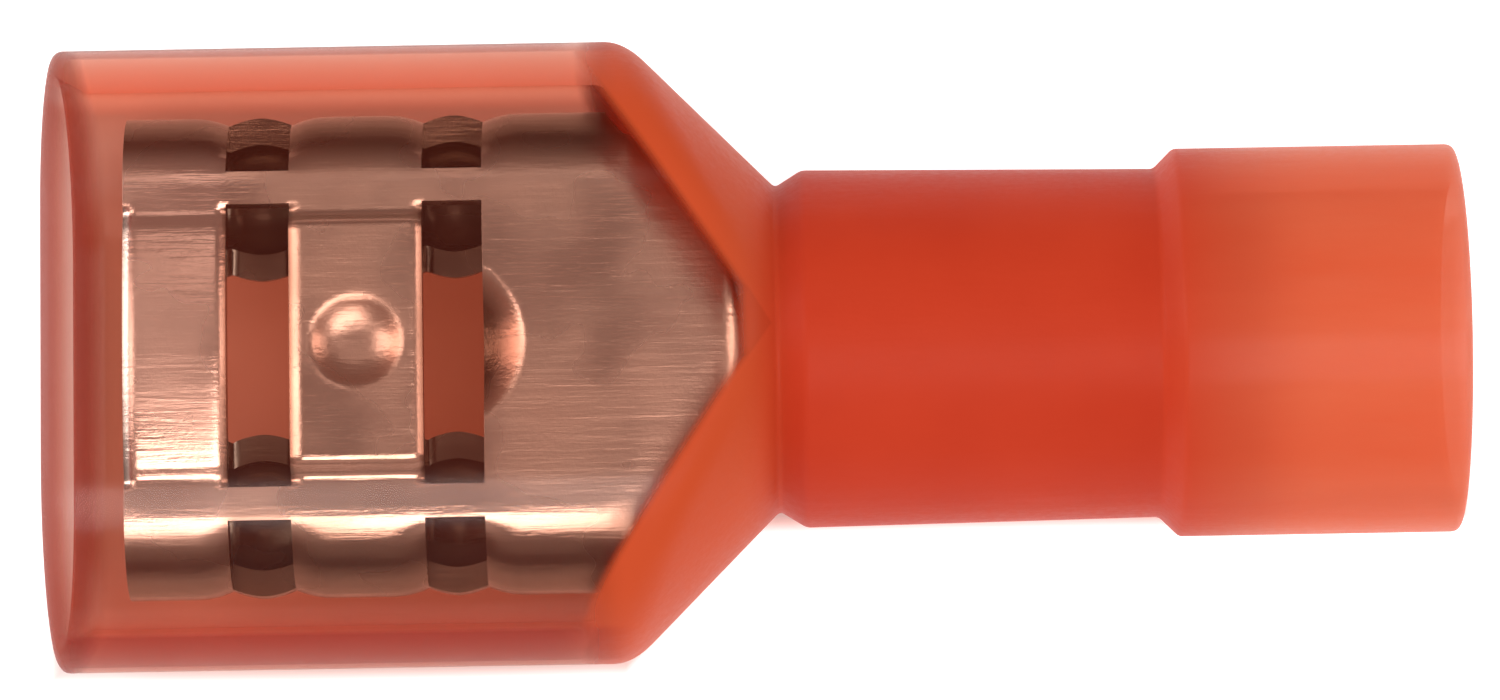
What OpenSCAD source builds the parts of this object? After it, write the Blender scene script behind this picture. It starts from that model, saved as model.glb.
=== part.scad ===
// Fully insulated female spade terminal for a 6.3 mm tab: a stamped and rolled
// receptacle with its crimp barrel, a reinforcing sleeve pressed over that
// barrel, and a one-piece translucent housing around both.
// It lies flat: the mouth faces -X, the wire entry faces +X, and the crown of
// the hood and the bell both touch Z = 0 below.
// Every "_x" value is a station along the part, counted from the mouth.

/* [Male tab] */
// Width of the male tab that goes in
tab_w = 6.35; // [5.8:0.05:6.8]
// Thickness of the male tab
tab_t = 0.81; // [0.7:0.01:0.95]

/* [Receptacle] */
// Thickness of the strip that the receptacle is rolled from
sheet_t = 0.4; // [0.3:0.05:0.5]
// Free play on each side of the tab
tab_side_gap = 0.1; // [0.05:0.05:0.25]
// Free play between the tab and the curled edges
tab_lift = 0.04; // [0:0.01:0.1]
// How far the receptacle sits back from the mouth of the hood
mouth_recess = 1.1; // [0.6:0.05:2]
// Length of the front strap along the part
front_strap_len = 1.55; // [1.2:0.05:2]
// Length of the slot between the two straps
front_slot_len = 0.95; // [0.7:0.05:1.3]
// Length of the strap that carries the dimple
dimple_strap_len = 2; // [1.6:0.05:2.4]
// Length of the slot behind the dimpled strap
rear_slot_len = 0.9; // [0.6:0.05:1.2]
// Length of the curled edges behind the rear slot
curl_tail_len = 1.85; // [1.5:0.05:2.1]
// Length over which the plate narrows between the curls and the cone
plate_tail_len = 0.4; // [0.3:0.05:0.7]
// Width of the slots across the floor
slot_w = 4.3; // [4.1:0.05:4.6]
// Width of the raised face of each strap
pad_w = 3.55; // [3:0.05:3.75]
// How far the straps stand above the floor
pad_rise = 0.25; // [0.1:0.05:0.35]
// Width of the rail beside each slot
rail_w = 0.5; // [0.35:0.05:0.6]
// Depth of the side notches, down from the floor
notch_depth = 1.1; // [0.6:0.05:1.3]

/* [Dimple and tab stop] */
// Diameter of the locking dimple
dimple_d = 1.4; // [1.1:0.05:1.6]
// Depth of the locking dimple
dimple_depth = 0.32; // [0.15:0.01:0.4]
// Radius of the half-round tab stop
stop_r = 1.38; // [1.2:0.02:1.6]
// How far the tab stop reaches back into the plate
stop_reach = 0.62; // [0.4:0.02:0.8]
// Depth of the full tab-stop cap at its middle
stop_depth = 0.6; // [0.4:0.02:0.7]

/* [Crimp barrel] */
// Bore for the stripped conductor
wire_d = 1.9; // [1.6:0.05:2.2]
// Length of the cone from the plate to the barrel
cone_len = 1.7; // [1.6:0.05:2.4]
// Length of the crimp barrel
barrel_len = 6.2; // [5:0.1:7.5]
// Width of the seam along the barrel
seam_w = 0.06; // [0.03:0.01:0.12]

/* [Reinforcing sleeve] */
// Wall of the sleeve
sleeve_t = 0.5; // [0.3:0.05:0.7]
// How far the sleeve starts behind the mouth of the barrel's cone
sleeve_setback = 0.5; // [0.4:0.05:1]
// How far the sleeve stands past the barrel at the wire end
sleeve_lip = 0.3; // [0.15:0.05:0.5]
// Play between the sleeve and what it touches, on the radius
sleeve_play = 0.02; // [0.01:0.01:0.05]
// Chamfer inside the sleeve's wire end
sleeve_lead = 0.18; // [0.1:0.02:0.3]

/* [Housing] */
// Wall of the hood
hood_wall = 0.65; // [0.5:0.05:0.8]
// Free play between the receptacle and the hood's side walls
hood_side_gap = 0.4; // [0.3:0.025:0.6]
// Free height over the straps inside the hood
hood_crown_gap = 0.72; // [0.4:0.02:0.9]
// Height of the flat strip between the rounded edges on the hood's sides
hood_side_flat = 0.2; // [0.1:0.1:1.6]
// Distance from the curls' end to the shoulder corner
shoulder_setback = 0.3; // [0.2:0.05:0.6]
// Angle of the shoulders to the part's length
shoulder_angle = 45; // [38:1:48]
// Radius of the shoulder corners
shoulder_r = 0.9; // [0.6:0.1:1.2]
// Bevel inside the mouth, across the wall
mouth_bevel = 0.25; // [0.1:0.05:0.35]
// Length of the bevel inside the mouth
mouth_bevel_len = 0.5; // [0.3:0.05:0.8]
// Small chamfer round the outer edges
edge_break = 0.12; // [0.06:0.02:0.2]
// Wall of the housing over the sleeve, at its thick end
barrel_wall = 0.82; // [0.7:0.02:1]
// How much the barrel narrows towards the bell, on the radius
barrel_draft = 0.07; // [0:0.01:0.12]
// Depth of the groove between the hood and the barrel
neck_groove = 0.25; // [0.15:0.05:0.35]
// Length of the slope out of that groove
neck_slope_len = 0.4; // [0.3:0.05:0.6]
// Length of the slope up to the bell
bell_slope_len = 0.3; // [0.2:0.05:0.5]
// Length of the bell past the sleeve
bell_len = 4.25; // [3:0.05:5]
// Bore of the bell, for the wire's insulation
insulation_d = 4.5; // [4.2:0.05:4.7]
// Length of the slope from the bell's bore down to the sleeve
funnel_len = 0.3; // [0.2:0.05:0.5]

/* [Hidden] */

nylon_colour = [0.86, 0.27, 0.17, 0.55];
tin_colour = [0.78, 0.76, 0.72];
sleeve_colour = [0.72, 0.66, 0.6];

$fn = 64;
eps = 0.01;
margin = 1; // how far a cutting outline runs past what it cuts
far = 20; // longer than any cut has to be

// Receptacle, seen along the part
curl_r = tab_t + tab_lift + sheet_t;
receptacle_w = tab_w + 2 * tab_side_gap + 2 * sheet_t;
curl_y = receptacle_w / 2 - curl_r;

// Barrel and sleeve
barrel_r = wire_d / 2 + sheet_t;
sleeve_bore_r = barrel_r + sleeve_play;
sleeve_r = sleeve_bore_r + sleeve_t;
seat_r = sleeve_r + sleeve_play; // bore of the housing round the sleeve

// The floor lies a hair below the top of the barrel, so that the two blend
floor_drop = 0.03;
floor_z = barrel_r - floor_drop;
curl_z = floor_z - curl_r;
pad_z = floor_z + pad_rise;

// Stations of the terminal
receptacle_x = mouth_recess;
front_slot_x = receptacle_x + front_strap_len;
dimple_strap_x = front_slot_x + front_slot_len;
rear_slot_x = dimple_strap_x + dimple_strap_len;
plate_x = rear_slot_x + rear_slot_len;
curl_end_x = plate_x + curl_tail_len;
cone_x = curl_end_x + plate_tail_len;
barrel_x = cone_x + cone_len;
barrel_end_x = barrel_x + barrel_len;

// The cone starts as wide as the flat part of the floor
cone_r = sqrt(pow(curl_y, 2) + pow(floor_z, 2));
cone_slope = (cone_r - barrel_r) / cone_len;
cone_skin = sheet_t * sqrt(1 + pow(cone_slope, 2));

// Stations and sizes of the sleeve
sleeve_x = barrel_x + sleeve_setback;
sleeve_end_x = barrel_end_x + sleeve_lip;

// Hood
cavity_w = receptacle_w + 2 * hood_side_gap;
cavity_h = 2 * (pad_z + hood_crown_gap);
hood_w = cavity_w + 2 * hood_wall;
hood_h = cavity_h + 2 * hood_wall;
hood_edge_r = (hood_h - hood_side_flat) / 2;
shoulder_x = curl_end_x + shoulder_setback;
// the inner slope runs parallel to the shoulders, a wall inside them
inner_x = shoulder_x - hood_wall * tan(shoulder_angle / 2);
bore_x = inner_x + (cavity_w / 2 - seat_r) / tan(shoulder_angle);

// Barrel and bell of the housing
grip_r = seat_r + barrel_wall;
neck_r = grip_r - neck_groove;
neck_x = shoulder_x + (hood_w / 2 - neck_r) / tan(shoulder_angle);
bell_x = barrel_end_x;
bell_r = hood_h / 2; // as high as the hood, so the part lies level
total_len = sleeve_end_x + bell_len;

// Turns a shape drawn along Z so that it runs along X: its X becomes Z up
module along_x(x = 0) {
    translate([x, 0, 0]) rotate([0, 90, 0]) rotate([0, 0, 90]) children();
}

// Puts a node that is built round the X axis, from its mouth, in its place
module place() {
    translate([-total_len / 2, 0, hood_h / 2]) children();
}

// Revolves an outline given as [station, radius] points round the X axis
module turned(points) {
    rotate([0, 90, 0]) rotate_extrude() polygon([for (p = points) [p[1], p[0]]]);
}

// Rectangle with rounded corners, w and h from its middle to its sides
module rounded_section(w, h, r) {
    square([2 * w, 2 * (h - r)], center = true);
    square([2 * (w - r), 2 * h], center = true);
    for (y = [-1, 1], z = [-1, 1]) translate([y * (w - r), z * (h - r)]) circle(r = r);
}

// The same section at x, growing evenly on all sides over len
module rounded_flare(x, w, h, r, len, grow) {
    a = w - r;
    b = h - r;
    along_x(x) {
        // the four corners are quarters of cones
        for (y = [0, 1], z = [0, 1]) mirror([y, 0, 0]) mirror([0, z, 0]) translate([a, b, 0])
            rotate_extrude(angle = 90) polygon([[0, 0], [r, 0], [r + grow, len], [0, len]]);
        // from side to side, then the strips along both sides
        along_x(-a) linear_extrude(2 * a)
            polygon([[-h, 0], [h, 0], [h + grow, len], [-h - grow, len]]);
        for (y = [0, 1]) mirror([y, 0, 0]) translate([0, b, 0]) rotate([90, 0, 0])
            linear_extrude(2 * b) polygon([[a, 0], [w, 0], [w + grow, len], [a, len]]);
    }
}

// The shoulders' outline as [station, radius] points: a soft corner that is
// made of short slopes, then the straight slope down to the neck
function shoulder_outline() =
    let (
        lead = 8, // angle at which the corner leaves the hood's side
        steps = 6,
        level = hood_w / 2 - shoulder_r * cos(lead),
        centre_x = shoulder_x + (hood_w / 2 - level) / tan(shoulder_angle)
            - shoulder_r / sin(shoulder_angle)
    )
    [for (i = [0 : steps]) let (t = lead + (shoulder_angle - lead) * i / steps)
        [centre_x + shoulder_r * sin(t), level + shoulder_r * cos(t)]];

module hood() {
    w = hood_w / 2;
    h = hood_h / 2;
    cut = edge_break;
    rounded_flare(0, w - cut, h - cut, hood_edge_r - cut, cut, cut);
    // this part of the section ties the chamfer to the walls behind it
    along_x() linear_extrude(2 * cut) rounded_section(w - cut, h - cut, hood_edge_r - cut);
    intersection() {
        along_x(cut) linear_extrude(neck_x - cut) rounded_section(w, h, hood_edge_r);
        turned([
            [-margin, 0],
            [-margin, w + margin],
            each shoulder_outline(),
            [neck_x, neck_r],
            [neck_x, 0]
        ]);
    }
}

module housing_hollow() {
    w = cavity_w / 2;
    h = cavity_h / 2;
    r = hood_edge_r - hood_wall;
    bevel = mouth_bevel;
    intersection() {
        along_x(-eps) linear_extrude(bore_x + eps) rounded_section(w, h, r);
        turned([
            [-margin, 0],
            [-margin, w + margin],
            [inner_x - margin / tan(shoulder_angle), w + margin],
            [bore_x, seat_r],
            [bore_x, 0]
        ]);
    }
    rounded_flare(0, w + bevel, h + bevel, r + bevel, mouth_bevel_len, -bevel);
    turned([
        [bore_x - eps, 0],
        [bore_x - eps, seat_r],
        [sleeve_end_x, seat_r],
        [sleeve_end_x + funnel_len, insulation_d / 2],
        [total_len - edge_break, insulation_d / 2],
        [total_len + eps, insulation_d / 2 + edge_break],
        [total_len + eps, 0]
    ]);
}

module housing() {
    color(nylon_colour) difference() {
        union() {
            hood();
            // the barrel starts inside the shoulders, so that both make one body
            turned([
                [neck_x - neck_slope_len, 0],
                [neck_x - neck_slope_len, neck_r],
                [neck_x, neck_r],
                [neck_x + neck_slope_len, grip_r],
                [bell_x, grip_r - barrel_draft],
                [bell_x + bell_slope_len, bell_r],
                [total_len - edge_break, bell_r],
                [total_len, bell_r - edge_break],
                [total_len, 0]
            ]);
        }
        housing_hollow();
    }
}

// Floor and both curled edges, seen along the part
module rolled_section() {
    translate([-curl_y, floor_z - sheet_t]) square([2 * curl_y, sheet_t]);
    for (side = [0, 1]) mirror([side, 0]) translate([curl_y, curl_z]) difference() {
        circle(r = curl_r);
        circle(r = curl_r - sheet_t);
        translate([-far, 0]) square(far);
    }
}

// One strap: a raised face, and on both sides a slope as long as it is high
// down to the floor, which runs on into the rails
module strap(x, len) {
    face = pad_w / 2;
    foot = face + pad_rise;
    edge = slot_w / 2 + eps;
    outline = [
        [-edge, floor_z], [-foot, floor_z], [-face, pad_z],
        [face, pad_z], [foot, floor_z], [edge, floor_z]
    ];
    along_x(x) linear_extrude(len) polygon([
        each outline,
        for (i = [len(outline) - 1 : -1 : 0]) outline[i] - [0, sheet_t]
    ]);
}

// A box between two corners
module block(low, high) {
    translate(low) cube(high - low);
}

// Cap of a sphere pressed down into a face at z, with its skin below
function cap_r(r, depth) = (pow(r, 2) + pow(depth, 2)) / (2 * depth);
module pressed(x, z, r, depth, skin = 0) {
    ball = cap_r(r, depth);
    translate([x, 0, z + ball - depth]) sphere(r = ball + skin);
}

module straps() {
    dimple_x = dimple_strap_x + dimple_strap_len / 2;
    strap(receptacle_x, front_strap_len);
    difference() {
        union() {
            strap(dimple_strap_x, dimple_strap_len);
            intersection() {
                pressed(dimple_x, pad_z, dimple_d / 2, dimple_depth, sheet_t);
                translate([dimple_x, 0, pad_z - far - sheet_t / 2])
                    cylinder(r = dimple_d / 2, h = far);
            }
        }
        pressed(dimple_x, pad_z, dimple_d / 2, dimple_depth);
    }
}

// Plan of what is cut off the rear corners, from the curls' end to the cone
module corner_trims() {
    for (side = [0, 1]) mirror([0, side, 0]) translate([0, 0, -far / 2]) linear_extrude(far)
        polygon([
            [curl_end_x, receptacle_w / 2],
            [curl_end_x, receptacle_w],
            [cone_x + eps, receptacle_w],
            [cone_x + eps, cone_r]
        ]);
}

module receptacle() {
    edge = slot_w / 2;
    stop_x = plate_x + stop_reach - stop_r;
    difference() {
        union() {
            along_x(receptacle_x) linear_extrude(cone_x - receptacle_x) rolled_section();
            // the middle of the plate runs on into the flat top of the cone
            block([plate_x, -barrel_r, floor_z - sheet_t], [cone_x + sheet_t, barrel_r, floor_z]);
            intersection() {
                pressed(stop_x, floor_z, stop_r, stop_depth, sheet_t);
                block([plate_x, -far, -far], [cone_x, far, floor_z - sheet_t / 2]);
            }
        }
        pressed(stop_x, floor_z, stop_r, stop_depth);
        // the window that the straps and slots share
        block([receptacle_x - eps, -edge, curl_z], [plate_x, edge, far]);
        // side notches beside both slots
        for (x = [[front_slot_x, dimple_strap_x], [rear_slot_x, plate_x]], side = [0, 1])
            mirror([0, side, 0])
                block([x[0], edge + rail_w, floor_z - notch_depth], [x[1], far, far]);
        // the curls end before the cone starts
        block([curl_end_x, -far, -far], [cone_x + eps, far, curl_z]);
        corner_trims();
    }
    straps();
}

// From the flat floor to the round barrel: a cone with a flat top, open below
module cone_and_barrel() {
    inner_r = barrel_r - sheet_t;
    inner_x = barrel_x - (cone_skin - sheet_t) / cone_slope;
    difference() {
        turned([
            [cone_x, 0],
            [cone_x, cone_r],
            [barrel_x, barrel_r],
            [barrel_end_x, barrel_r],
            [barrel_end_x, 0]
        ]);
        // the cone's flat top
        block([cone_x - margin, -far, floor_z], [barrel_x, far, far]);
        // inside of the cone, below its flat top, then the bore
        intersection() {
            turned([
                [cone_x - eps, 0],
                [cone_x - eps, cone_r - cone_skin + eps * cone_slope],
                [inner_x, inner_r],
                [barrel_x, inner_r],
                [barrel_x, 0]
            ]);
            block([cone_x - margin, -far, -far], [barrel_x, far, floor_z - sheet_t]);
        }
        turned([
            [inner_x, 0],
            [inner_x, inner_r],
            [barrel_end_x + eps, inner_r],
            [barrel_end_x + eps, 0]
        ]);
        // the trough's edges slope down to where the barrel closes
        rotate([90, 0, 0]) linear_extrude(far, center = true) polygon([
            [cone_x - eps, curl_z],
            [barrel_x + sheet_t, -barrel_r - eps],
            [barrel_x + sheet_t, -far],
            [cone_x - eps, -far]
        ]);
        block([cone_x - eps, -seam_w / 2, -far], [barrel_end_x + eps, seam_w / 2, 0]);
    }
}

module terminal() {
    color(tin_colour) {
        receptacle();
        cone_and_barrel();
    }
}

module sleeve() {
    color(sleeve_colour) difference() {
        turned([
            [sleeve_x, 0],
            [sleeve_x, sleeve_r - sleeve_lead],
            [sleeve_x + sleeve_lead, sleeve_r],
            [sleeve_end_x, sleeve_r],
            [sleeve_end_x, 0]
        ]);
        turned([
            [sleeve_x - eps, 0],
            [sleeve_x - eps, sleeve_bore_r],
            [sleeve_end_x - sleeve_lead, sleeve_bore_r],
            [sleeve_end_x + eps, sleeve_bore_r + sleeve_lead + eps],
            [sleeve_end_x + eps, 0]
        ]);
    }
}

place() housing();
place() terminal();
place() sleeve();
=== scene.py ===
"""Looks of the fully insulated female spade terminal: its pieces, materials, floor, lights and camera."""

import math

import bmesh
import bpy
import numpy as np
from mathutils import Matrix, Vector


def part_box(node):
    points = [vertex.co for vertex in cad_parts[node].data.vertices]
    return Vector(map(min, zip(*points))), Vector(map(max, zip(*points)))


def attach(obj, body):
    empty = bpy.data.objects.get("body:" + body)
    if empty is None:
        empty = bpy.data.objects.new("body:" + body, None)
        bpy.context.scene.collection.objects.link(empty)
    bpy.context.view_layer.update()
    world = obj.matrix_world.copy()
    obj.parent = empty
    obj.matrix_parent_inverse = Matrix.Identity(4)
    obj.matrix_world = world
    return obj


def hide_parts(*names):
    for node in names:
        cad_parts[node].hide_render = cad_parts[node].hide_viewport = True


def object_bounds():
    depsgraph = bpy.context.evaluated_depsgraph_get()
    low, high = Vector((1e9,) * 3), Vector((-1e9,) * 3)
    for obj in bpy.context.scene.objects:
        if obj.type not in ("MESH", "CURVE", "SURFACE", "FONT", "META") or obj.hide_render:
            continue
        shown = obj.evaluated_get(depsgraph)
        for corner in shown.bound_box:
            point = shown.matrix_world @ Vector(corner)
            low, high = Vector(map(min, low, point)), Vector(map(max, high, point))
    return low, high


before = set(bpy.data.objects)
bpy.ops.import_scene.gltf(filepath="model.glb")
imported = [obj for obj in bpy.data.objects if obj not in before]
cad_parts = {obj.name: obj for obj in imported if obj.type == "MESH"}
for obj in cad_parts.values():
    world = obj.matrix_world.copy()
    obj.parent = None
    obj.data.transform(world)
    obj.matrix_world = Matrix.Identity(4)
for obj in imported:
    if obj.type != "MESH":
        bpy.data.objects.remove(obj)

MM = 0.001
# millimetres that don't count when two places are compared
HAIR = 1e-6
CAD_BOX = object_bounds()


# ---------------------------------------------------------------- shapes
# Sizes are in millimetres, in the part's own frame. Stations (the values that end
# in _X) are counted from the mouth of the hood and turned into the frame's X when a
# mesh is made. Heights (the values that end in _Z, apart from AXIS_Z) are counted
# from the barrel's axis.


def box_mm(node):
    low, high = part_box(node)
    return [v / MM for v in low], [v / MM for v in high]


HOUSING_LOW, HOUSING_HIGH = box_mm("housing")
TERMINAL_LOW, TERMINAL_HIGH = box_mm("terminal")
SLEEVE_LOW, SLEEVE_HIGH = box_mm("sleeve")
MOUTH_X = HOUSING_LOW[0]
AXIS_Z = HOUSING_HIGH[2] / 2
SLEEVE_PLAY = 0.02


def smooth_min(a, b, width):
    """The lower of a and b, with a soft corner where they cross."""
    share = np.clip(0.5 + 0.5 * (b - a) / width, 0, 1)
    return b * (1 - share) + a * share - width * share * (1 - share)


def smooth_step(value):
    value = np.clip(value, 0, 1)
    return value * value * (3 - 2 * value)


def rounded_rectangle(angles, w, h, r):
    """Distance from the middle to a rounded rectangle's outline, at each angle.
    w and h are half its width and height, and r is its corner radius."""
    tiny = 1e-9
    c = np.maximum(np.abs(np.cos(angles)), tiny)
    s = np.maximum(np.abs(np.sin(angles)), tiny)
    a, b = w - r, h - r
    corner = a * c + b * s + np.sqrt(np.maximum(r * r - (a * s - b * c) ** 2, 0))
    side = np.where(w / c * s <= b, w / c, corner)
    return np.where(h / s * c <= a, h / s, side)


def filleted(points, radii):
    """A run of straight lines with each inner corner rounded by about its radius.
    A fillet takes up less than half of either line beside it."""
    steps, largest_share = 6, 0.45
    path = [np.array(points[0], float)]
    for before, corner, after, radius in zip(points, points[1:], points[2:], radii):
        corner = np.array(corner, float)
        d1 = np.array(before, float) - corner
        d2 = np.array(after, float) - corner
        l1, l2 = np.linalg.norm(d1), np.linalg.norm(d2)
        d1, d2 = d1 / l1, d2 / l2
        half = math.acos(max(-1, min(1, float(d1 @ d2)))) / 2
        reach = min(radius / math.tan(half), largest_share * l1, largest_share * l2)
        for i in range(steps + 1):
            t = i / steps
            path.append((1 - t) ** 2 * (corner + d1 * reach) + 2 * t * (1 - t) * corner
                        + t ** 2 * (corner + d2 * reach))
    path.append(np.array(points[-1], float))
    return path


def evenly(path, step):
    """Adds points so that no two neighbours on the path are more than step apart."""
    out = [path[0]]
    for a, b in zip(path, path[1:]):
        count = max(1, math.ceil(np.linalg.norm(b - a) / step))
        out += [a + (b - a) * i / count for i in range(1, count + 1)]
    return out


def places(cuts, steps):
    """Numbers from the first cut to the last, evenly spread between each two cuts and
    there no further apart than that stretch's step."""
    out = [cuts[0]]
    for low, high, step in zip(cuts, cuts[1:], steps):
        out += list(np.linspace(low, high, max(1, math.ceil((high - low) / step)) + 1))[1:]
    return out


def new_piece(name, points, faces, shade=None):
    """A mesh piece from points in millimetres. shade, one number a point, is kept as an attribute."""
    mesh = bpy.data.meshes.new(name)
    mesh.from_pydata([(x * MM, y * MM, z * MM) for x, y, z in points], [], faces)
    if shade:
        mesh.attributes.new("shade", "FLOAT", "POINT").data.foreach_set("value", shade)
    work = bmesh.new()
    work.from_mesh(mesh)
    bmesh.ops.recalc_face_normals(work, faces=work.faces)
    work.to_mesh(mesh)
    work.free()
    mesh.shade_smooth()
    piece = bpy.data.objects.new(name, mesh)
    bpy.context.collection.objects.link(piece)
    return piece


def ring_shell(name, rings):
    """Joins rings of points into one closed skin, the last ring to the first."""
    count = len(rings[0])
    points = [p for ring in rings for p in ring]
    faces = []
    for i in range(len(rings)):
        a, b = i * count, (i + 1) % len(rings) * count
        faces += [(a + j, a + (j + 1) % count, b + (j + 1) % count, b + j) for j in range(count)]
    return new_piece(name, points, faces)


# The housing: the hood's half width, half height, wall and edges, then its mouth
HOOD_W, HOOD_H = HOUSING_HIGH[1], AXIS_Z
HOOD_WALL = 0.65
HOOD_EDGE_R = HOOD_H - 0.1
EDGE_ROUND = 0.14
MOUTH_BEVEL, MOUTH_BEVEL_LEN = 0.25, 0.5
MOUTH_FLAT, LIP_BREAK = 0.15, 0.05
# its shoulders, neck, grip and bell
LENGTH = HOUSING_HIGH[0] - HOUSING_LOW[0]
SHOULDER_X, NECK_X, BELL_X = 8.65, 10.915, 16.65
SHOULDER_SOFTNESS, CAVITY_SOFTNESS = 0.3, 0.25
SHOULDER_BEND, CAVITY_BEND = 0.9, 0.7
NECK_R, GRIP_R, GRIP_END_R = 2.46, 2.71, 2.64
NECK_LEAD, NECK_SLOPE, BELL_SLOPE = 0.12, 0.4, 0.3
# the bore for the wire, the funnel before the sleeve and the sleeve's seat
BELL_BORE_R, BELL_LEAD = 2.25, 0.12
FUNNEL_LEN = 0.3
SLEEVE_END_X = SLEEVE_HIGH[0] - MOUTH_X
SEAT_R, SEAT_LEAD = SLEEVE_HIGH[1] + SLEEVE_PLAY, 0.3
# points round each of its rings
HOUSING_POINTS = 176


def housing_piece():
    """Both skins of the housing: rounded rectangle in the hood, round from the neck on."""
    angles = np.linspace(0, 2 * math.pi, HOUSING_POINTS, endpoint=False)

    def ring(x, radius):
        """One ring at x. Its radius is one number, or one for each angle."""
        radii = np.broadcast_to(radius, angles.shape)
        return [(MOUTH_X + x, r * math.cos(a), AXIS_Z + r * math.sin(a)) for r, a in zip(radii, angles)]

    def hood_ring(x, grow):
        """Outer skin of the hood at x, drawn in or out by grow."""
        shoulder = HOOD_W + grow + SHOULDER_X - x
        box = rounded_rectangle(angles, HOOD_W + grow, HOOD_H + grow, HOOD_EDGE_R + grow)
        return ring(x, smooth_min(box, shoulder, SHOULDER_SOFTNESS))

    # the lip, rounded over, and the hood as far as the neck
    lip_turns = [i / 5 * math.pi / 2 for i in range(5, -1, -1)]
    rings = [hood_ring(EDGE_ROUND * (1 - math.sin(t)), -EDGE_ROUND * (1 - math.cos(t))) for t in lip_turns]
    bend, neck = SHOULDER_X - SHOULDER_BEND, NECK_X - NECK_LEAD
    rings += [hood_ring(x, 0) for x in np.linspace(EDGE_ROUND, bend, 30)[1:]]
    rings += [hood_ring(x, 0) for x in np.linspace(bend, neck, 44)[1:]]

    # neck, grip and bell, and round the bell's end
    outside = evenly(filleted(
        [(neck, NECK_R + NECK_LEAD), (NECK_X, NECK_R), (NECK_X + NECK_SLOPE, GRIP_R), (BELL_X, GRIP_END_R),
         (BELL_X + BELL_SLOPE, HOOD_H), (LENGTH, HOOD_H), (LENGTH, BELL_BORE_R + BELL_LEAD)],
        [0.2, 0.25, 0.15, 0.15, EDGE_ROUND]), 0.22)
    rings += [ring(x, r) for x, r in outside[1:]]

    # back through the bell's bore, the funnel and the sleeve's seat
    cavity_w, cavity_h = HOOD_W - HOOD_WALL, HOOD_H - HOOD_WALL
    cavity_r = HOOD_EDGE_R - HOOD_WALL
    inner_shoulder = SHOULDER_X - HOOD_WALL * math.tan(math.pi / 8)
    seat_x = inner_shoulder + cavity_w - SEAT_R
    inside = evenly(filleted(
        [(LENGTH, BELL_BORE_R + BELL_LEAD), (LENGTH - BELL_LEAD, BELL_BORE_R),
         (SLEEVE_END_X + FUNNEL_LEN, BELL_BORE_R), (SLEEVE_END_X, SEAT_R), (seat_x, SEAT_R),
         (seat_x - SEAT_LEAD, SEAT_R + SEAT_LEAD)],
        [0.06, 0.12, 0.06, 0.25]), 0.25)
    rings += [ring(x, r) for x, r in inside[1:]]

    def cavity_ring(x, grow):
        """Inner skin of the hood at x, widened by grow."""
        shoulder = cavity_w + grow + inner_shoulder - x
        box = rounded_rectangle(angles, cavity_w + grow, cavity_h + grow, cavity_r + grow)
        return ring(x, smooth_min(box, shoulder, CAVITY_SOFTNESS))

    # the hood's cavity, out to its bevelled mouth
    bend, mouth = inner_shoulder - CAVITY_BEND, MOUTH_BEVEL_LEN + MOUTH_FLAT
    rings += [cavity_ring(x, 0) for x in np.linspace(seat_x - SEAT_LEAD, bend, 36)[1:]]
    rings += [cavity_ring(x, 0) for x in np.linspace(bend, mouth, 26)[1:]]
    bevel = filleted([(mouth, 0), (MOUTH_BEVEL_LEN, 0), (LIP_BREAK, MOUTH_BEVEL), (0, MOUTH_BEVEL + 0.06)],
                     [0.15, 0.06])
    rings += [cavity_ring(x, grow) for x, grow in evenly(bevel, 0.08)[1:]]
    return ring_shell("housing_shell", rings)


# The terminal: its sheet, and the half-round curls along both edges of its floor
SHEET = 0.4
CURL_R = 1.25
CURL_Y = TERMINAL_HIGH[1] - CURL_R
FLOOR_Z = 1.32
CURL_Z = FLOOR_Z - CURL_R
# lengths along it
FRONT_STRAP, FRONT_SLOT, DIMPLE_STRAP, REAR_SLOT = 1.55, 0.95, 2.0, 0.9
CURL_TAIL, PLATE_TAIL, CONE_LEN = 1.85, 0.4, 1.7
RECEPTACLE_X = TERMINAL_LOW[0] - MOUTH_X
FRONT_SLOT_X = RECEPTACLE_X + FRONT_STRAP
DIMPLE_STRAP_X = FRONT_SLOT_X + FRONT_SLOT
REAR_SLOT_X = DIMPLE_STRAP_X + DIMPLE_STRAP
PLATE_X = REAR_SLOT_X + REAR_SLOT
CURL_END_X = PLATE_X + CURL_TAIL
CONE_X = CURL_END_X + PLATE_TAIL
BARREL_X = CONE_X + CONE_LEN
BARREL_END_X = TERMINAL_HIGH[0] - MOUTH_X
STRAPS = ((RECEPTACLE_X, FRONT_SLOT_X), (DIMPLE_STRAP_X, REAR_SLOT_X))
SLOTS = ((FRONT_SLOT_X, DIMPLE_STRAP_X), (REAR_SLOT_X, PLATE_X))
# places across it: the raised pad's edge and foot, the slots' end and the rail beside them
PAD_EDGE, PAD_FOOT, SLOT_EDGE, RAIL = 1.775, 2.025, 2.15, 0.5
NOTCH_DEPTH = 1.1
RAIL_TURN = math.asin((SLOT_EDGE + RAIL - CURL_Y) / CURL_R)
NOTCH_TURN = math.acos((CURL_R - NOTCH_DEPTH) / CURL_R)
# the straps: how far their pads rise, and how much the front one sinks towards its sides
PAD_RISE, STRAP_CROWN = 0.25, 0.16
# cut edges bend down a little: on the straps, and on the curls at the notches
EDGE_ROLL, EDGE_ROLL_DEPTH = 0.2, 0.07
NOTCH_ROLL, NOTCH_ROLL_DEPTH, NOTCH_ROLL_START = 0.55, 0.12, 0.5
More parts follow.
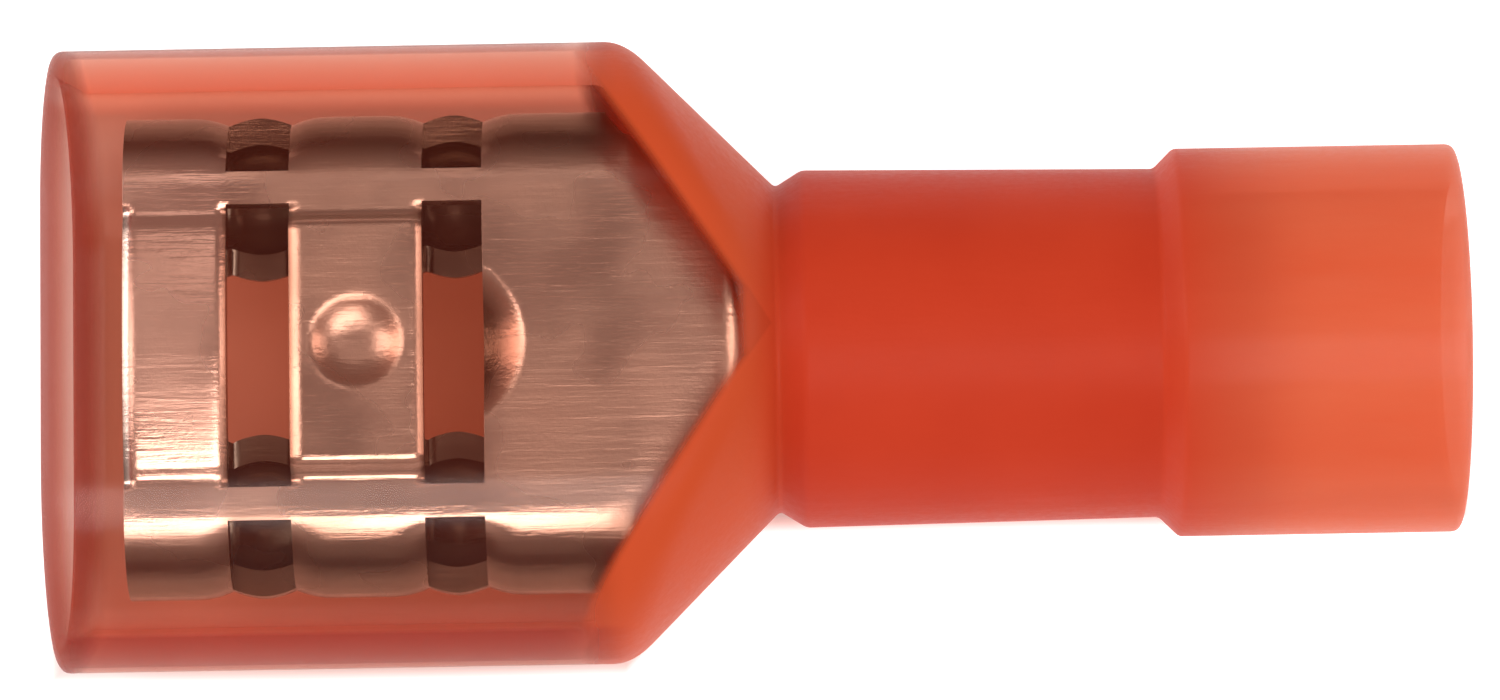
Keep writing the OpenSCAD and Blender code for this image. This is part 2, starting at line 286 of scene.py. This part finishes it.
# the dimple, and the stop that is pressed down behind the rear slot
DIMPLE_R, DIMPLE_DEPTH = 0.7, 0.18
DIMPLE_X = DIMPLE_STRAP_X + DIMPLE_STRAP / 2
STOP_R, STOP_REACH, STOP_DEPTH = 1.38, 0.62, 0.6
STOP_X = PLATE_X + STOP_REACH - STOP_R
# the barrel's radius, and the gap at its seam
BARREL_R, SEAM = 1.35, 0.06
# the cone where it starts: its half width and its radius underneath, then how soft its upper
# edges are at its start and its end. Its flanks turn inwards under it.
CONE_SIDE, CONE_R = 3.15, math.hypot(CURL_Y, FLOOR_Z)
CONE_EDGE, CONE_EDGE_END = 0.4, 0.3
UNDER_TURN, WALL_REACH = 0.6, 1.6
# its flat top has a gently sloping margin, and gives way to the round barrel at its end. The
# top reaches down to an angle of TOP_TURN at most.
MARGIN_START, MARGIN_TILT, MARGIN_SOFTNESS = 2.3, math.radians(7), 0.12
TOP_TURN, TOP_LIFT, ROUNDING = 1.5, 0.4, 0.7
# painted shade, from 0 to 1, that darkens the tin where shade falls: the sides from a turn on and
# with a soft start, less so on the cone, then cut edges (bare metal there too), the under side and
# the inside of the curls, and the stop's hollow by its depth
SIDE_SHADE, SIDE_SHADE_TURN, SIDE_SHADE_SPREAD = 0.92, 0.15, 0.45
CONE_SHADE_LOSS, CONE_SHADE_SPREAD = 0.7, 0.6
CUT_SHADE, UNDER_SHADE, INSIDE_SHADE, STOP_SHADE = 0.8, 0.5, 1.0, 4

# The sheet's mesh. Columns run along it, at places across half of the flat floor and then at
# turns round the curl, and rows across it. Each stretch has its own step.
ROW_STEP, BARREL_STEP = 0.075, 0.2
FLATS = places((0, PAD_EDGE, PAD_FOOT, SLOT_EDGE, CURL_Y), (0.075, 0.05, 0.063, 0.07))
FLANK_TURNS = places((0, RAIL_TURN, NOTCH_TURN, math.pi / 2), (0.065, 0.085, 0.07))[1:]
CURL_TURNS = places((math.pi / 2, 1.5 * math.pi), (0.12,))[1:]
FLANK = len(FLATS) + len(FLANK_TURNS)
SLOT_END = FLATS.index(SLOT_EDGE)
NOTCH_START = len(FLATS) + FLANK_TURNS.index(RAIL_TURN)
NOTCH_END = len(FLATS) + FLANK_TURNS.index(NOTCH_TURN)
ON_FLOOR = np.arange(FLANK + len(CURL_TURNS)) < len(FLATS)
RUN = np.array(FLATS + [CURL_Y + CURL_R * turn for turn in FLANK_TURNS])


def dent(distance, radius, depth, power):
    """How far a round dent goes down at each distance from its middle: the higher the power,
    the flatter its bottom and the steeper its rim."""
    return depth * np.clip(1 - (distance / radius) ** power, 0, 1) ** 1.2


def receptacle_section():
    """Outer side of half the receptacle's section, and which way it faces."""
    turns = FLANK_TURNS + CURL_TURNS
    points = [(y, FLOOR_Z) for y in FLATS]
    points += [(CURL_Y + CURL_R * math.sin(a), CURL_Z + CURL_R * math.cos(a)) for a in turns]
    facing = [(0, 1)] * len(FLATS) + [(math.sin(a), math.cos(a)) for a in turns]
    return np.array(points), np.array(facing, float)


def narrowed(x, start, end):
    """A size of the cone at x that goes evenly from start, at its front, to end, at the barrel."""
    return start + (end - start) * np.clip((x - CONE_X) / CONE_LEN, 0, 1)


def cone_outline(x, angles):
    """Distance from the axis to the cone's or the barrel's outer side at x. Angles are counted
    from the top: a flat top with a sloping margin, a steep flank, and a turn inwards under it.
    The nearer the barrel, the rounder it gets."""
    radius = narrowed(x, CONE_R, BARREL_R)
    side = narrowed(x, CONE_SIDE, BARREL_R)
    # sines and cosines below least would put the top or the walls too far away
    least, far = 0.05, 99

    # the lift takes the flat top off the barrel
    top = FLOOR_Z + TOP_LIFT * smooth_step((x - BARREL_X + ROUNDING / 2) / ROUNDING)
    flat = top / np.maximum(np.cos(angles), least)
    slope = math.tan(MARGIN_TILT)
    margin = (top + slope * narrowed(x, MARGIN_START, 0)) / (np.cos(angles) + slope * np.sin(angles))
    flat = np.where(angles < TOP_TURN, smooth_min(flat, margin, MARGIN_SOFTNESS), far)

    wall = side / np.maximum(np.sin(angles), least)
    under = np.clip(1 - (angles - math.pi / 2) / UNDER_TURN, 0, 1)
    wall = np.where(angles > math.pi / 2, radius + (side - radius) * under ** 2, wall)
    boxy = 1 - smooth_step((x - BARREL_X + ROUNDING) / ROUNDING)
    flank = boxy * np.minimum(wall, WALL_REACH * side) + (1 - boxy) * radius
    return smooth_min(flat, flank, narrowed(x, CONE_EDGE, CONE_EDGE_END))


def cone_section(x, shares):
    """Points on half of the cone's or the barrel's outer side at x, at shares of its length
    from the middle of the top to the edge of the sheet, and which way each faces."""
    edge_z = CURL_Z + (-BARREL_R - CURL_Z) * np.clip((x - CONE_X) / (CONE_LEN + SHEET), 0, 1)
    last = min(math.acos(max(-1, edge_z / narrowed(x, CONE_R, BARREL_R))), math.pi - SEAM / 2 / BARREL_R)
    angles = np.linspace(0, last, 240)
    distance = cone_outline(x, angles)
    curve = np.stack([distance * np.sin(angles), distance * np.cos(angles)], 1)
    steps = np.linalg.norm(np.diff(curve, axis=0), axis=1)
    run = np.concatenate([[0], np.cumsum(steps)])
    points = np.stack([np.interp(shares * run[-1], run, curve[:, i]) for i in (0, 1)], 1)
    along = np.stack([np.interp(shares * run[-1], run, np.gradient(curve[:, i], run)) for i in (0, 1)], 1)
    facing = np.stack([-along[:, 1], along[:, 0]], 1)
    return points, facing / np.linalg.norm(facing, axis=1)[:, None]


def sheet_section(x, section, facing):
    """The sheet's outer side at x and which way it faces: the receptacle's section as far as
    the curls go, and then a passage into the cone, with the curls left off."""
    if x <= CURL_END_X + HAIR:
        outer, out = section, facing
    else:
        spread = smooth_step((x - CURL_END_X) / (BARREL_X - CURL_END_X))
        shares = (1 - spread) * RUN / RUN[-1] + spread * np.linspace(0, 1, FLANK)
        cone, cone_out = cone_section(max(x, CONE_X), shares)
        morph = min(1, (x - CURL_END_X) / PLATE_TAIL)
        outer = (1 - morph) * section[:FLANK] + morph * cone
        out = (1 - morph) * facing[:FLANK] + morph * cone_out
        out /= np.linalg.norm(out, axis=1)[:, None]
    to_notch = min(abs(x - cut) for slot in SLOTS for cut in slot)
    beyond_rail = smooth_step((RUN - RUN[NOTCH_START]) / NOTCH_ROLL_START)
    beyond_rail = np.append(beyond_rail, np.ones(len(CURL_TURNS)))[:len(outer)]
    roll = NOTCH_ROLL_DEPTH * max(0, 1 - to_notch / NOTCH_ROLL) ** 2 * beyond_rail
    return outer - roll[:, None] * out, out


def strap_relief(x, y):
    """How far each point of the row at x is raised by a strap's pad, less its dimple and
    its bent ends, and how dark it is: cut edges are darkened, partly as bare cut metal and partly as
    painted shade that dims their highlights."""
    lift, shade = np.zeros(len(y)), np.zeros(len(y))
    for strap, crown in zip(STRAPS, (STRAP_CROWN, 0)):
        to_end = min(x - strap[0], strap[1] - x)
        if to_end < -HAIR:
            continue
        rise = PAD_RISE - crown * (np.minimum(y, PAD_EDGE) / PAD_EDGE) ** 2
        floor = ON_FLOOR[:len(y)]
        lift += rise * smooth_step((PAD_FOOT - y) / (PAD_FOOT - PAD_EDGE)) * floor
        lift -= dent(np.hypot(x - DIMPLE_X, y), DIMPLE_R, DIMPLE_DEPTH, 3) * floor
        lift -= EDGE_ROLL_DEPTH * max(0, 1 - to_end / EDGE_ROLL) ** 2 * (y < SLOT_EDGE - HAIR)
        # painted shade on the strap's cut edge, dimming its highlight; the bare cut metal is duller too
        if to_end < HAIR:
            shade[:SLOT_END] = CUT_SHADE
    return lift, shade


def stop_relief(x, y):
    """How far the tab stop goes down at each point of the row at x."""
    if x < PLATE_X - HAIR:
        return np.zeros(len(y))
    return dent(np.hypot(x - STOP_X, y), STOP_R, STOP_DEPTH, 1.8)


def side_shade(x, count):
    """Painted shade on the sheet's outer side at x, in its first columns: darker the further it turns
    down, and less so on the cone."""
    turned = SIDE_SHADE * smooth_step(((RUN - CURL_Y) / CURL_R - SIDE_SHADE_TURN) / SIDE_SHADE_SPREAD)
    turned = np.append(turned, np.full(len(CURL_TURNS), SIDE_SHADE))
    on_cone = smooth_step((x - CURL_END_X + CONE_SHADE_SPREAD / 2) / CONE_SHADE_SPREAD)
    return turned[:count] * (1 - CONE_SHADE_LOSS * on_cone)


def sheet_rows():
    """Each row of the sheet: its X, and the Y, Z and shade of its outer and its under side."""
    section, facing = receptacle_section()
    cuts = [RECEPTACLE_X, FRONT_SLOT_X, DIMPLE_STRAP_X, REAR_SLOT_X, PLATE_X, CURL_END_X, CONE_X, BARREL_X,
            BARREL_X + SHEET, BARREL_END_X]
    steps = [ROW_STEP] * (len(cuts) - 2) + [BARREL_STEP]
    rows = []
    for x in places(cuts, steps):
        outer, out = sheet_section(x, section, facing)
        under = outer - SHEET * out
        y = outer[:, 0]
        lift, cut_shade = strap_relief(x, y)
        hollow = stop_relief(x, y)
        lift = lift - hollow
        # painted shade: the stop's hollow, the turned-down sides and cut edges outside; the under side and
        # the curls' insides below
        outer_shade = np.minimum(1, STOP_SHADE * hollow + side_shade(x, len(y)) + cut_shade)
        under_shade = np.where(ON_FLOOR[:len(y)], UNDER_SHADE, INSIDE_SHADE)
        rows.append((x, np.stack([y, AXIS_Z + outer[:, 1] + lift, outer_shade], 1),
                     np.stack([under[:, 0], AXIS_Z + under[:, 1] + lift, under_shade], 1)))
    return rows


def terminal_piece():
    """The whole stamping as one bent sheet: a grid along and across it with the slots
    left out, its underside one sheet thickness below, and walls round every cut edge."""
    rows = sheet_rows()
    points, index, shade = [], {}, []
    for i, (x, outer, under) in enumerate(rows):
        for j in range(len(outer)):
            for side in (1, -1):
                if j == 0 and side == -1:
                    index[i, j, -1] = index[i, j, 1]
                    continue
                index[i, j, side] = len(points)
                for y, z, dark in (outer[j], under[j]):
                    points.append((MOUTH_X + x, side * y, z))
                    shade.append(dark)

    # an under point follows its outer point, so its number is one higher
    faces, rims = [], {}
    for i in range(len(rows) - 1):
        x = (rows[i][0] + rows[i + 1][0]) / 2
        in_slot = any(low < x < high for low, high in SLOTS)
        for j in range(min(len(rows[i][1]), len(rows[i + 1][1])) - 1):
            if in_slot and (j < SLOT_END or NOTCH_START <= j < NOTCH_END):
                continue
            for side in (1, -1):
                corners = [index[i + a, j + b, side] for a, b in ((0, 0), (1, 0), (1, 1), (0, 1))]
                if side == -1:
                    corners.reverse()
                faces.append(corners)
                faces.append([c + 1 for c in reversed(corners)])
                for p, q in zip(corners, corners[1:] + corners[:1]):
                    rims[p, q] = True
    for p, q in list(rims):
        if (q, p) not in rims:
            faces.append([q, p, p + 1, q + 1])
    piece = new_piece("terminal_stamping", points, faces, shade)
    soften(piece, 0.075)
    return piece


def soften(piece, width):
    """Rounds the piece's sharp edges by at most width, in millimetres, and by less where its
    faces leave no room, and gives the faces beside them crisp shading."""
    bevel = piece.modifiers.new("soft_edges", "BEVEL")
    bevel.width = width * MM
    bevel.segments = 2
    bevel.limit_method = "ANGLE"
    bevel.angle_limit = math.radians(50)
    bevel.harden_normals = True


def sleeve_piece():
    """The reinforcing sleeve: a short tube with rounded ends and a lead-in for the wire."""
    start, end = SLEEVE_LOW[0] - MOUTH_X, SLEEVE_HIGH[0] - MOUTH_X
    outer, bore, lead = SLEEVE_HIGH[1], BARREL_R + SLEEVE_PLAY, 0.18
    # the path starts and ends on the bore's straight stretch
    closing_x = start + 1
    corners = [(closing_x, bore), (start, bore), (start, outer), (end, outer), (end, bore + lead),
               (end - lead, bore), (closing_x, bore)]
    path = evenly(filleted(corners, [0.05, 0.16, 0.08, 0.05, 0.05]), 0.3)[:-1]
    angles = np.linspace(0, 2 * math.pi, 96, endpoint=False)
    rings = [[(MOUTH_X + x, r * math.cos(a), AXIS_Z + r * math.sin(a)) for a in angles] for x, r in path]
    return ring_shell("crimp_sleeve", rings)


# ---------------------------------------------------------------- materials


class Nodes:
    """A material's node tree, with short calls to add and join nodes."""

    def __init__(self, name):
        self.material = bpy.data.materials.new(name)
        self.material.use_nodes = True
        self.tree = self.material.node_tree
        self.tree.nodes.clear()

    def add(self, kind, **values):
        """A new node with its settings or inputs: Base_Color=... puts a value or a socket in Base Color."""
        node = self.tree.nodes.new(kind)
        for key, value in values.items():
            if hasattr(node, key):
                setattr(node, key, value)
            else:
                self.put(node.inputs[key.replace("_", " ")], value)
        return node

    def put(self, socket, value):
        if isinstance(value, bpy.types.NodeSocket):
            self.tree.links.new(value, socket)
        else:
            socket.default_value = value

    def position(self):
        """The point in the part's own frame, in millimetres."""
        coords = self.add("ShaderNodeTexCoord").outputs["Object"]
        scaled = self.add("ShaderNodeVectorMath", operation="SCALE", Scale=1 / MM)
        self.put(scaled.inputs[0], coords)
        return scaled.outputs[0]

    def split(self, point):
        node = self.add("ShaderNodeSeparateXYZ")
        self.put(node.inputs[0], point)
        return [node.outputs[axis] for axis in "XYZ"]

    def noise(self, point, scale, detail=3.0, rough=0.5, stretch=None):
        if stretch:
            point = self.add("ShaderNodeMapping", Vector=point, Scale=stretch).outputs[0]
        node = self.add("ShaderNodeTexNoise", Vector=point, Scale=scale, Detail=detail, Roughness=rough)
        return node.outputs["Fac"]

    def ramp(self, value, low, high, to_low=0.0, to_high=1.0, smooth=True):
        node = self.add("ShaderNodeMapRange", interpolation_type="SMOOTHSTEP" if smooth else "LINEAR")
        for socket, number in zip(node.inputs[:5], (value, low, high, to_low, to_high)):
            self.put(socket, number)
        return node.outputs[0]

    def math(self, operation, a, b=0.0):
        node = self.add("ShaderNodeMath", operation=operation)
        self.put(node.inputs[0], a)
        self.put(node.inputs[1], b)
        return node.outputs[0]

    def times(self, a, b):
        return self.math("MULTIPLY", a, b)

    def mix(self, factor, a, b):
        node = self.add("ShaderNodeMix", data_type="RGBA")
        self.put(node.inputs["Factor"], factor)
        self.put(node.inputs["A"], a if isinstance(a, bpy.types.NodeSocket) else (*a, 1))
        self.put(node.inputs["B"], b if isinstance(b, bpy.types.NodeSocket) else (*b, 1))
        return node.outputs["Result"]

    def bump(self, height, distance):
        return self.add("ShaderNodeBump", Height=height, Distance=distance).outputs[0]

    def either(self, share, first, second):
        """One shader where share is 0 and the other where it is 1."""
        node = self.add("ShaderNodeMixShader")
        for socket, value in zip(node.inputs, (share, first, second)):
            self.put(socket, value)
        return node.outputs[0]

    def finish(self, surface, volume=None):
        out = self.add("ShaderNodeOutputMaterial", Surface=surface)
        if volume:
            self.put(out.inputs["Volume"], volume)
        return self.material


# The nylon's colours: over the barrel, on the bell, on the hood, on its upper edges and at its lip.
# The deeper barrel red is painted shade from the metal inside, the paler bell red is painted light
# passing through the bell, and the upper edges' and the lip's deeper reds are painted shade.
BARREL_REDS = (0.455, 0.022, 0.006), (0.525, 0.036, 0.011)
BELL_REDS = (0.78, 0.105, 0.036), (0.84, 0.170, 0.075)
HOOD_RED = 0.56, 0.070, 0.020
# painted shade: a deeper red on the hood's upper edges, where the wall is seen edge-on
EDGE_SHADE_RED = 0.30, 0.009, 0.003
# painted shade: a deeper red at the lip round the mouth
LIP_SHADE_RED = 0.34, 0.030, 0.014
# the colour that it gives to light on its way through, and how strongly
TINT, TINT_DENSITY = (0.86, 0.30, 0.08), 740.0
# how much of its surface is cloud and not clear; the lip's and the upper edges' cloud shows their painted
# shade
HOOD_CLOUD, SIDE_CLOUD, LIP_SHADE_CLOUD, EDGE_SHADE_CLOUD = 0.035, 0.26, 0.62, 0.5
SHOULDER_CLOUD, BARREL_CLOUD, BELL_CLEARING, MOTTLING = 0.92, 0.78, 0.28, 0.05
# the shoulders' cloud starts on a line that lies this much nearer the mouth for each step aside
SHOULDER_SLANT = 0.66


def nylon_colour(n, along, edge, lip_shade, mottle, streaks):
    """Deep red over the barrel, painted shade from the metal inside; paler on the bell, painted light
    passing through it; and deeper again on the hood's upper edges and lip, painted shade.
    """
    bell = n.ramp(along, BELL_X - 0.3, BELL_X + 2.5, 0.1, 1.0)
    colour = n.mix(bell, n.mix(mottle, *BARREL_REDS), n.mix(streaks, *BELL_REDS))
    colour = n.mix(n.ramp(along, NECK_X - 0.6, NECK_X + 0.3), HOOD_RED, colour)
    colour = n.mix(edge, colour, EDGE_SHADE_RED)
    return n.mix(lip_shade, colour, LIP_SHADE_RED)


def nylon_cloud(n, along, aside, edge, lip_shade, mottle):
    """How much of the surface is cloud: little in the hood, more beyond the shoulders' inner line."""
    diagonal = n.math("ADD", along, n.times(aside, SHOULDER_SLANT))
    shoulder = n.times(n.ramp(diagonal, BARREL_X + 0.16, BARREL_X + 0.42),
                       n.ramp(along, SHOULDER_X - 1.2, SHOULDER_X))
    barrel = n.ramp(along, BARREL_X - 0.2, BARREL_X + 0.05)
    bell = n.ramp(along, BELL_X, BELL_X + 1.5)
    cloud = n.math("MAXIMUM", n.times(shoulder, SHOULDER_CLOUD), n.times(barrel, BARREL_CLOUD))
    cloud = n.math("SUBTRACT", cloud, n.times(bell, BELL_CLEARING))
    # more cloud on the hood's sides, and on the lip and upper edges, where it carries their painted shade
    for place, amount in ((n.ramp(aside, 3.9, 4.7), SIDE_CLOUD), (lip_shade, LIP_SHADE_CLOUD), (edge, EDGE_SHADE_CLOUD)):
        cloud = n.math("MAXIMUM", cloud, n.times(place, amount))
    cloud = n.math("ADD", cloud, HOOD_CLOUD)
    return n.math("ADD", cloud, n.times(n.math("SUBTRACT", mottle, 0.5), MOTTLING))


def nylon_material():
    """Translucent red nylon: clear in the thin hood, cloudy in the shoulders and over the barrel."""
    n = Nodes("red_nylon")
    point = n.position()
    x, y, z = n.split(point)
    along = n.math("SUBTRACT", x, MOUTH_X)
    aside = n.math("ABSOLUTE", y)
    height = n.math("SUBTRACT", z, AXIS_Z)
    mottle = n.noise(point, 0.45)
    streaks = n.noise(point, 1.1, 4.0, 0.6, stretch=(0.2, 1.0, 1.0))
    grain = n.noise(point, 9.0, 5.0, 0.65)

    # painted shade on the hood's upper edges, as far as the shoulders, and on the lip round its mouth
    edge = n.times(n.ramp(aside, 4.32, 4.42), n.ramp(height, 0.15, 0.4))
    edge = n.times(edge, n.ramp(along, SHOULDER_X + 0.2, SHOULDER_X - 1.2))
    lip_shade = n.ramp(along, 0.55, 0.1)

    waves = n.math("ADD", n.times(streaks, 0.7), n.times(grain, 0.1))
    cloudy = n.add("ShaderNodeBsdfPrincipled", Base_Color=nylon_colour(n, along, edge, lip_shade, mottle, streaks),
                   Roughness=n.ramp(grain, 0.3, 0.7, 0.42, 0.52), IOR=1.53, Specular_IOR_Level=0.06,
                   Normal=n.bump(waves, 0.03 * MM))
    clear = n.add("ShaderNodeBsdfTransparent", Color=(1.0, 0.985, 0.97, 1))
    gloss = n.add("ShaderNodeBsdfGlossy", Roughness=0.18)
    slant = n.math("POWER", n.add("ShaderNodeLayerWeight").outputs["Facing"], 4.0)
    window = n.either(n.math("ADD", n.times(slant, 0.10), 0.014), clear.outputs[0], gloss.outputs[0])
    surface = n.either(nylon_cloud(n, along, aside, edge, lip_shade, mottle), window, cloudy.outputs[0])
    tint = n.add("ShaderNodeVolumeAbsorption", Color=(*TINT, 1), Density=TINT_DENSITY)
    return n.finish(surface, tint.outputs[0])


def tin_material():
    """Tin-plated brass strip: bright, faintly warm, with rolling marks and dull patches, a painted
    highlight on the front strap and painted shade from the sheet's shade attribute.
    """
    n = Nodes("tinned_brass")
    point = n.position()
    along = n.math("SUBTRACT", n.split(point)[0], MOUTH_X)
    cloud = n.noise(point, 0.6, 2.0, 0.45)
    rolled = n.noise(point, 2.2, 4.0, 0.7, stretch=(0.1, 1.5, 1.5))
    fine = n.noise(point, 14.0, 4.0, 0.6)
    colour = n.mix(cloud, (0.84, 0.81, 0.76), (0.56, 0.51, 0.45))
    # painted highlight: the front strap is given a lighter tin colour, standing in for the brighter
    # reflection it shows
    colour = n.mix(n.ramp(along, FRONT_SLOT_X + 0.1, FRONT_SLOT_X - 0.2), colour, (0.92, 0.89, 0.85))
    # painted shade from the sheet's shade attribute: darker on the curls' sides and insides, the under
    # side, the tab stop's hollow and the cut edges, which are also bare metal
    shade = n.add("ShaderNodeAttribute", attribute_name="shade").outputs["Fac"]
    colour = n.mix(shade, colour, (0.15, 0.125, 0.10))
    # the stretched metal of the cone is rougher
    cone = n.ramp(along, CURL_END_X - 0.2, CONE_X + 0.6, 0.0, 0.08)
    height = n.math("ADD", n.times(rolled, 0.8), n.times(fine, 0.2))
    metal = n.add("ShaderNodeBsdfPrincipled", Base_Color=colour, Metallic=1.0,
                  Roughness=n.math("ADD", n.ramp(cloud, 0.25, 0.75, 0.17, 0.33), cone),
                  Normal=n.bump(height, 0.015 * MM))
    return n.finish(metal.outputs[0])


def sleeve_material():
    """Drawn copper-alloy sleeve, tinned, with fine lines round it."""
    n = Nodes("sleeve_metal")
    point = n.position()
    drawn = n.noise(point, 6.0, 4.0, 0.6, stretch=(2.5, 0.3, 0.3))
    cloud = n.noise(point, 0.9)
    metal = n.add("ShaderNodeBsdfPrincipled", Metallic=1.0,
                  Base_Color=n.mix(cloud, (0.58, 0.40, 0.28), (0.70, 0.56, 0.44)),
                  Roughness=n.ramp(cloud, 0.3, 0.7, 0.3, 0.42), Normal=n.bump(drawn, 0.01 * MM))
    return n.finish(metal.outputs[0])


def floor_material():
    """White board with painted light: it glows faintly beside the object's outline, which hides the
    object's shadow and keeps it white, and glows dimly red under the object, a painted stand-in for
    light let through the nylon.
    """
    n = Nodes("white_board")
    point = n.position()
    x, y, _ = n.split(point)
    # how far the board's point lies outside the object's outline: half of the hood's width,
    # narrowing at the shoulders to half of the bell's, and half of its length
    half_width = n.ramp(x, -2.1, 0.0, 4.3, 2.1, smooth=False)
    beside = n.math("SUBTRACT", n.math("ABSOLUTE", y), half_width)
    beyond = n.math("SUBTRACT", n.math("ABSOLUTE", x), LENGTH / 2 + 0.15)
    outside = n.ramp(n.math("MAXIMUM", beside, beyond), 0.0, 0.4)
    # painted light: the board glows white beside the object and dimly red under it
    paint = n.add("ShaderNodeBsdfPrincipled", Roughness=0.8, Specular_IOR_Level=0.1,
                  Base_Color=n.mix(n.noise(point, 0.05, 2.0), (0.70, 0.70, 0.70), (0.72, 0.72, 0.72)),
                  Emission_Color=n.mix(outside, (1, 0.25, 0.10), (1, 1, 1)),
                  Emission_Strength=n.ramp(outside, 0.0, 1.0, 0.16, 0.85, smooth=False))
    return n.finish(paint.outputs[0])


def dress(piece, material):
    """Gives all of a piece one material."""
    piece.data.materials.clear()
    piece.data.materials.append(material)
    for polygon in piece.data.polygons:
        polygon.material_index = 0


# ---------------------------------------------------------------- stage
# Places and sizes are in metres here, and powers in watts.
FLOOR_SIDE = 0.6
FLOOR_DROP = 0.02 * MM
# the surround's brightness: its walls, its ceiling, and how far the dimmest part leans back;
# it starts to dim and is dimmest at these cosines of the angle from there
WALLS, CEILING, DIM_TILT = 0.38, 0.24, math.radians(35)
DIM_START, DIM_FULL = 0.34, 0.94
CAMERA_DISTANCE, CAMERA_TILT, CAMERA_ROLL = 0.115, math.radians(9), math.radians(-1.0)
CAMERA_SHIFT = -0.1 * MM
SEEN_WIDTH = 22.75 * MM
SENSOR_WIDTH = 36
# name, place, size and power of each light; all of them aim at the object's middle
LIGHTS = (
    ("front", (0.025, -0.07, 0.20), (0.15, 0.09), 0.24),
    ("back", (0.0, 0.085, 0.20), (0.10, 0.03), 0.01),
    ("low_front", (0.0, -0.19, 0.11), (0.28, 0.09), 0.02),
    ("left", (-0.15, 0.035, 0.11), (0.07, 0.22), 0.20),
    ("right", (0.16, 0.035, 0.10), (0.07, 0.13), 0.08),
)


def add_floor():
    """A board just under the object, so that no face of the object shares its plane."""
    mesh = bpy.data.meshes.new("floor")
    h = FLOOR_SIDE / 2
    corners = [(x, y, -FLOOR_DROP) for x, y in ((-h, -h), (h, -h), (h, h), (-h, h))]
    mesh.from_pydata(corners, [], [(0, 1, 2, 3)])
    floor = bpy.data.objects.new("floor", mesh)
    bpy.context.collection.objects.link(floor)
    floor.data.materials.append(floor_material())


def add_light(name, place, aim, size, watts):
    lamp = bpy.data.lights.new(name, "AREA")
    lamp.shape = "RECTANGLE"
    lamp.size, lamp.size_y = size
    lamp.energy = watts
    light = bpy.data.objects.new(name, lamp)
    bpy.context.collection.objects.link(light)
    light.location = place
    light.rotation_euler = (Vector(aim) - Vector(place)).to_track_quat("-Z", "Y").to_euler()


def add_world():
    """Soft studio surround: bright walls all round and a dimmer ceiling, dimmest a little behind."""
    world = bpy.data.worlds.new("studio")
    bpy.context.scene.world = world
    world.use_nodes = True
    tree = world.node_tree
    direction = tree.nodes.new("ShaderNodeTexCoord").outputs["Generated"]
    along = tree.nodes.new("ShaderNodeVectorMath")
    along.operation = "DOT_PRODUCT"
    tree.links.new(direction, along.inputs[0])
    along.inputs[1].default_value = (0, math.sin(DIM_TILT), math.cos(DIM_TILT))
    ramp = tree.nodes.new("ShaderNodeMapRange")
    ramp.interpolation_type = "SMOOTHSTEP"
    tree.links.new(along.outputs["Value"], ramp.inputs["Value"])
    for socket, number in zip(ramp.inputs[1:5], (DIM_START, DIM_FULL, WALLS, CEILING)):
        socket.default_value = number
    back = tree.nodes["Background"]
    back.inputs["Color"].default_value = (1, 1, 1, 1)
    tree.links.new(ramp.outputs[0], back.inputs["Strength"])


def add_camera(middle):
    """Looks down on the object, tilted a little to its near side, as the photo does."""
    camera = bpy.data.cameras.new("camera")
    camera.sensor_width = SENSOR_WIDTH
    camera.lens = SENSOR_WIDTH * CAMERA_DISTANCE / SEEN_WIDTH
    camera.clip_start = 0.01
    camera.clip_end = 10
    view = bpy.data.objects.new("camera", camera)
    bpy.context.collection.objects.link(view)
    back, up = -math.sin(CAMERA_TILT) * CAMERA_DISTANCE, math.cos(CAMERA_TILT) * CAMERA_DISTANCE
    view.location = middle + Vector((CAMERA_SHIFT, back, up))
    view.rotation_euler = (CAMERA_TILT, 0, 0)
    view.rotation_euler.rotate_axis("Z", CAMERA_ROLL)
    bpy.context.scene.camera = view


materials = {"housing": nylon_material(), "terminal": tin_material(), "sleeve": sleeve_material()}
for node_name, material in materials.items():
    dress(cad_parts[node_name], material)
for node_name, build, slot in (("housing", housing_piece, "nylon"),
                               ("terminal", terminal_piece, "tinned_brass"),
                               ("sleeve", sleeve_piece, "sleeve_metal")):
    piece = build()
    dress(piece, materials[node_name])
    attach(piece, "root")
    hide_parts(node_name)

low, high = (Vector(corner) for corner in CAD_BOX)
middle = (low + high) / 2
add_floor()
add_world()
for light_name, place, size, watts in LIGHTS:
    add_light(light_name, place, middle, size, watts)
add_camera(middle)
bpy.context.scene.view_settings.view_transform = "Standard"
